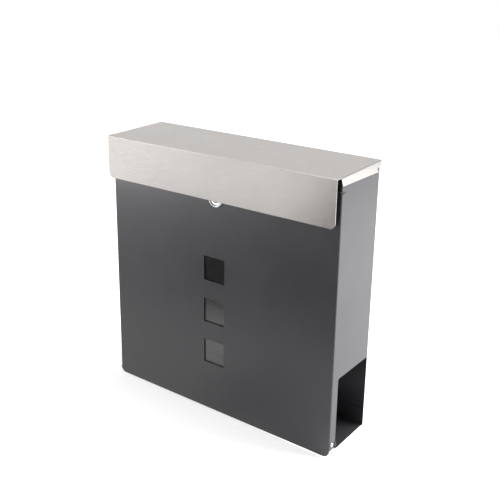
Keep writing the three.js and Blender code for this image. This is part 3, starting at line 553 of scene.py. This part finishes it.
def make_cam_screw():
    """Button-head screw with a hexagon socket, in place of the plain one."""
    low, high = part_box("cam_screw")
    axis = centre_of("cam_screw")
    head = (high.x - low.x) / 2
    tip, top = low.y, high.y
    rise = SCREW_HEAD_HEIGHT / 2

    def socket(angle):
        return SOCKET_HALF_FLATS / math.cos((angle + math.pi / 6) % (math.pi / 3) - math.pi / 6)

    # Radius, or a function of the angle that gives it, and height along the axis.
    levels = [
        (SCREW_PINHOLE, tip),
        (SCREW_RADIUS - SCREW_CHAMFER[0], tip),
        (SCREW_RADIUS, tip + SCREW_CHAMFER[1]),
        (SCREW_RADIUS, top - SCREW_HEAD_HEIGHT),
        (head, top - SCREW_HEAD_HEIGHT),
    ]
    steepest = math.radians(DOME_STEP * DOME_STEPS)
    for k in range(DOME_STEPS + 1):
        angle = math.radians(DOME_STEP * k)
        drawn_in = rise * DOME_DRAW * (1 - math.cos(angle))
        levels.append((head - drawn_in, top - rise + rise * math.sin(angle) / math.sin(steepest)))
    bottom = top - SOCKET_DEPTH
    levels += [(socket, top), (socket, bottom), (SCREW_PINHOLE, bottom - SOCKET_CONE)]
    rings = []
    for radius, y in levels:
        ring = []
        for k in range(SCREW_STEPS):
            angle = 2 * math.pi * k / SCREW_STEPS
            r = radius(angle) if callable(radius) else radius
            ring.append((axis.x + r * math.cos(angle), y, axis.z + r * math.sin(angle)))
        rings.append(ring)
    vertices, faces = lofted(rings)
    piece = made_piece("cam_screw_socket", vertices, faces, FINISHES["zinc"], "lock")
    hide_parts("cam_screw")


make_thread()
make_wafers()
make_cam_screw()


# ---- stage --------------------------------------------------------------------------------------
def card(name, half_x, half_y):
    """A flat rectangle about its own middle."""
    corners = [(u * half_x, v * half_y, 0) for u, v in ((-1, -1), (1, -1), (1, 1), (-1, 1))]
    return new_object(name, corners, [(0, 1, 2, 3)])


def make_floor():
    """Pale floor that keeps its shadow, with a glow that is seen and mirrored but not cast, and a
    painted shadow where the seen glow dims at the foot of the door.
    """
    floor = card("floor", FLOOR_SIZE / 2, FLOOR_SIZE / 2)
    floor.location.z = -FLOOR_DROP
    s = Shader("floor")
    place = s.place()
    axes = s.axes(place)
    sideways = s.maths("SUBTRACT", s.maths("ABSOLUTE", axes["X"]), DOOR_FOOT["half_width"])
    forward = s.maths("SUBTRACT", DOOR_FOOT["y"], axes["Y"])
    distance = s.node("ShaderNodeVectorMath", operation="LENGTH")
    s.link(place, distance.inputs[0])
    # Painted shadow: the seen glow dims towards the foot of the door.
    seen_glow = s.remap(s.maths("MAXIMUM", sideways, forward), GLOW_SEEN, GLOW_SEEN_REACH)
    mirrored_glow = s.remap(distance.outputs["Value"], GLOW_MIRRORED, GLOW_MIRRORED_REACH)
    path = s.node("ShaderNodeLightPath").outputs
    mirrored = s.maths("MAXIMUM", path["Is Glossy Ray"], path["Is Transmission Ray"])
    glow = s.maths(
        "ADD",
        s.maths("MULTIPLY", path["Is Camera Ray"], seen_glow),
        s.maths("MULTIPLY", mirrored, mirrored_glow),
    )
    pale = s.mix(s.noise(place, scale=300.0), FLOOR_DARK, FLOOR_LIGHT)
    s.set(Roughness=0.7, Emission_Color=(*WHITE, 1.0))
    dress(floor, s.wire(Base_Color=pale, Emission_Strength=glow))


def make_flag(name, x, fade, depth, y=None, z=None):
    """One of the black cards, flat just above the floor or upright well before the door."""
    upright = y is None
    rise = z if upright else y
    half = ((x[1] - x[0]) / 2, (rise[1] - rise[0]) / 2)
    middle = (sum(x) / 2, sum(rise) / 2)
    flag = card(name, *half)
    flag.location = (middle[0], FLAG_BACK, middle[1]) if upright else (*middle, FLAG_LIFT)
    flag.rotation_euler.x = math.radians(90.0 if upright else 0.0)
    for rays in ("camera", "diffuse", "shadow"):
        setattr(flag, f"visible_{rays}", False)
    s = Shader(name)
    axes = s.axes(s.place())
    cover = depth
    for axis, reach in zip("XY", half):
        inside = s.maths("SUBTRACT", reach, s.maths("ABSOLUTE", axes[axis]))
        cover = s.maths("MULTIPLY", s.remap(inside, band=(0.0, fade)), cover)
    s.set(Base_Color=(*FLAG_BLACK, 1.0), Roughness=1.0, Specular_IOR_Level=0.0)
    dress(flag, s.wire(Alpha=cover))


def make_world():
    """White to the eye and in reflections, and a soft even light on everything else."""
    world = bpy.data.worlds.new("studio")
    world.use_nodes = True
    tree = world.node_tree
    background = tree.nodes["Background"]
    background.inputs["Color"].default_value = (*WHITE, 1.0)
    path = tree.nodes.new("ShaderNodeLightPath")
    seen = path.outputs["Is Camera Ray"]
    for name in ("Is Glossy Ray", "Is Transmission Ray"):
        either = tree.nodes.new("ShaderNodeMath")
        either.operation = "MAXIMUM"
        tree.links.new(seen, either.inputs[0])
        tree.links.new(path.outputs[name], either.inputs[1])
        seen = either.outputs["Value"]
    strength = tree.nodes.new("ShaderNodeMapRange")
    strength.inputs["To Min"].default_value = AMBIENT
    strength.inputs["To Max"].default_value = 1.0
    tree.links.new(seen, strength.inputs["Value"])
    tree.links.new(strength.outputs["Result"], background.inputs["Strength"])
    bpy.context.scene.world = world


def make_lamp(name, place, aim, size, watts, link=None):
    """An area lamp that faces its aim and, with a link, lights all but one CAD node or only one."""
    data = bpy.data.lights.new(name, "AREA")
    data.shape = "RECTANGLE"
    data.size, data.size_y = size
    data.energy = watts
    lamp = bpy.data.objects.new(name, data)
    lamp.location = place
    lamp.rotation_euler = (Vector(aim) - Vector(place)).to_track_quat("-Z", "Y").to_euler()
    lamp.visible_camera = False
    bpy.context.scene.collection.objects.link(lamp)
    if link is not None:
        state, node = link
        linked = bpy.data.collections.new(f"{name}_{state.lower()}")
        linked.objects.link(frame["nodes"][node])
        linked.collection_objects[0].light_linking.link_state = state
        lamp.light_linking.receiver_collection = linked


def make_camera():
    data = bpy.data.cameras.new("camera")
    data.lens = CAMERA_LENS
    data.sensor_width = CAMERA_SENSOR
    data.shift_x, data.shift_y = CAMERA_SHIFT
    data.clip_start, data.clip_end = CAMERA_CLIP
    camera = bpy.data.objects.new("camera", data)
    turn = Matrix.Rotation(math.radians(CAMERA_AZIMUTH), 4, "Z")
    tilt = Matrix.Rotation(math.radians(90 - CAMERA_ELEVATION), 4, "X")
    roll = Matrix.Rotation(math.radians(CAMERA_ROLL), 4, "Z")
    camera.matrix_world = Matrix.Translation(CAMERA_PLACE) @ turn @ tilt @ roll
    bpy.context.scene.collection.objects.link(camera)
    bpy.context.scene.camera = camera


make_floor()
for name, layout in FLAGS.items():
    make_flag(name, **layout)
make_world()
for name, lamp in LAMPS.items():
    make_lamp(name, **lamp)
make_camera()
bpy.context.scene.view_settings.view_transform = "Standard"
